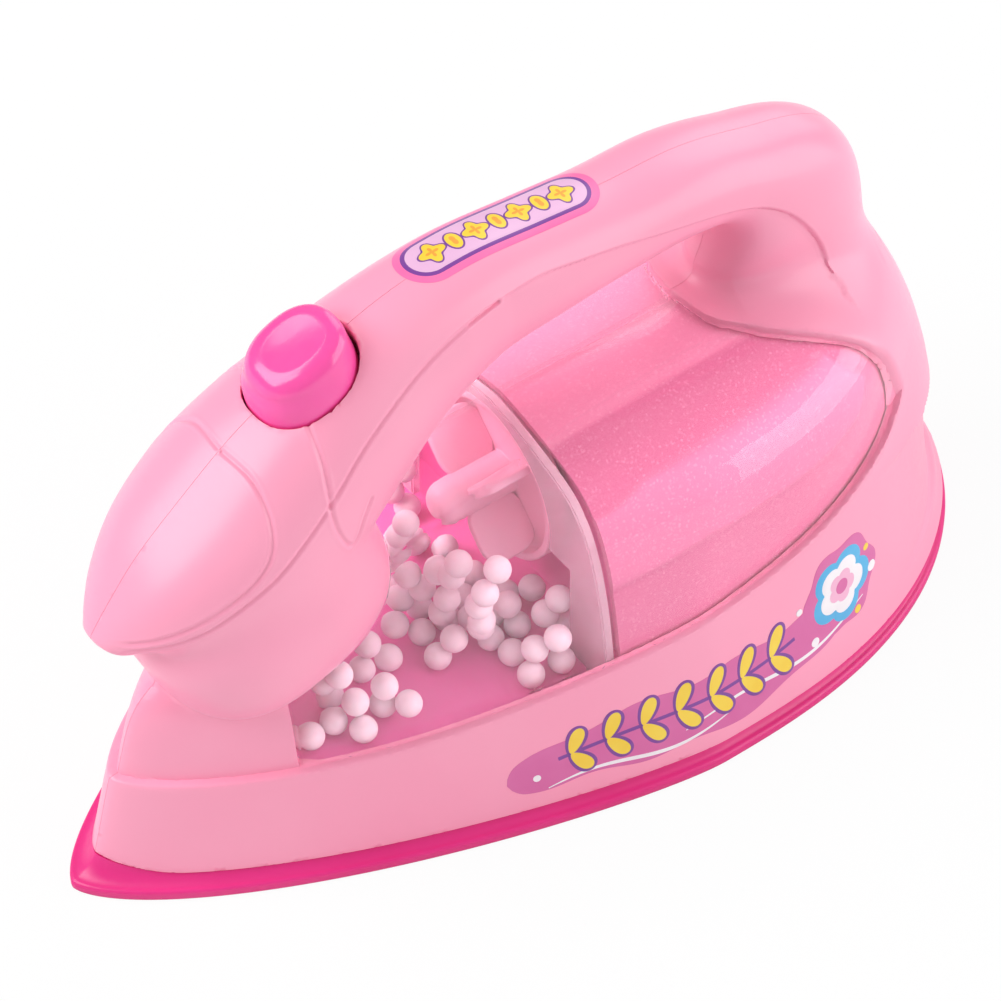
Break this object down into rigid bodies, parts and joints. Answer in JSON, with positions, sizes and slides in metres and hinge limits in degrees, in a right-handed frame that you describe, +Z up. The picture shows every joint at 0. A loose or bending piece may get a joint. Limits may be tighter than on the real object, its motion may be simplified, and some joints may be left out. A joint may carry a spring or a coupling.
{
  "type": "toy iron",
  "caption": "Child's toy steam iron with a pink loop handle, clear bead window, push button and small fan on a magenta sole.",
  "frame": {"origin": "centre of the sole's outline on its flat underside, on the seam plane", "axes": "+Z up, -X towards the nose, +X towards the heel, +Y towards the iron's right side"},
  "size_m": [0.16, 0.0774, 0.0902],
  "materials": {
    "pink_abs": "gloss",
    "magenta_abs": "satin",
    "button_abs": "gloss",
    "fan_abs": "gloss",
    "clear_window": "gloss",
    "glitter_liner": "gloss",
    "foam": "matte",
    "cell_wrap": "gloss",
    "spring_steel": "polished",
    "motor_steel": "satin",
    "black_plastic": "satin",
    "white_plastic": "satin",
    "label_film": "gloss",
    "sticker_film": "gloss"
  },
  "bodies": {
    "iron": {"sole_plate": "magenta_abs", "battery_door": "magenta_abs", "door_screw": "spring_steel", "battery_box": "white_plastic", "battery_right": "cell_wrap", "battery_left": "cell_wrap", "contact_front": "spring_steel", "contact_rear": "spring_steel", "contact_spring_right": "spring_steel", "contact_spring_left": "spring_steel", "body_right": "pink_abs", "body_left": "pink_abs", "window_right": "clear_window", "window_left": "clear_window", "liner_right": "glitter_liner", "liner_left": "glitter_liner", "partition": "clear_window", "bulkhead": "magenta_abs", "motor_can": "motor_steel", "tray": "magenta_abs", "foam_beads": "foam", "button_spring": "spring_steel", "switch_bracket": "white_plastic", "switch_body": "black_plastic", "handle_label": "label_film", "decal_right": "sticker_film", "decal_left": "sticker_film", "half_screws": "spring_steel", "sole_screws": "spring_steel"},
    "push_button": {"button": "button_abs"},
    "plunger": {"switch_plunger": "white_plastic"},
    "fan": {"impeller": "fan_abs", "motor_shaft": "spring_steel"}
  },
  "joints": [
    {"name": "button_press", "type": "slide", "parent": "iron", "child": "push_button", "axis": [0.1564, 0, -0.9877], "range_m": [0, 0.002], "stiffness_N_per_m": 400, "deforming": ["button_spring"]},
    {"name": "plunger_press", "type": "slide", "parent": "iron", "child": "plunger", "axis": [0.1564, 0, -0.9877], "range_m": [0, 0.002]},
    {"name": "fan_spin", "type": "hinge", "parent": "iron", "child": "fan", "pos_m": [0, 0, 0.0394], "axis": [1, 0, 0], "continuous": true}
  ],
  "couplings": [
    {"joint": "plunger_press", "follows": "button_press", "ratio": 1}
  ]
}
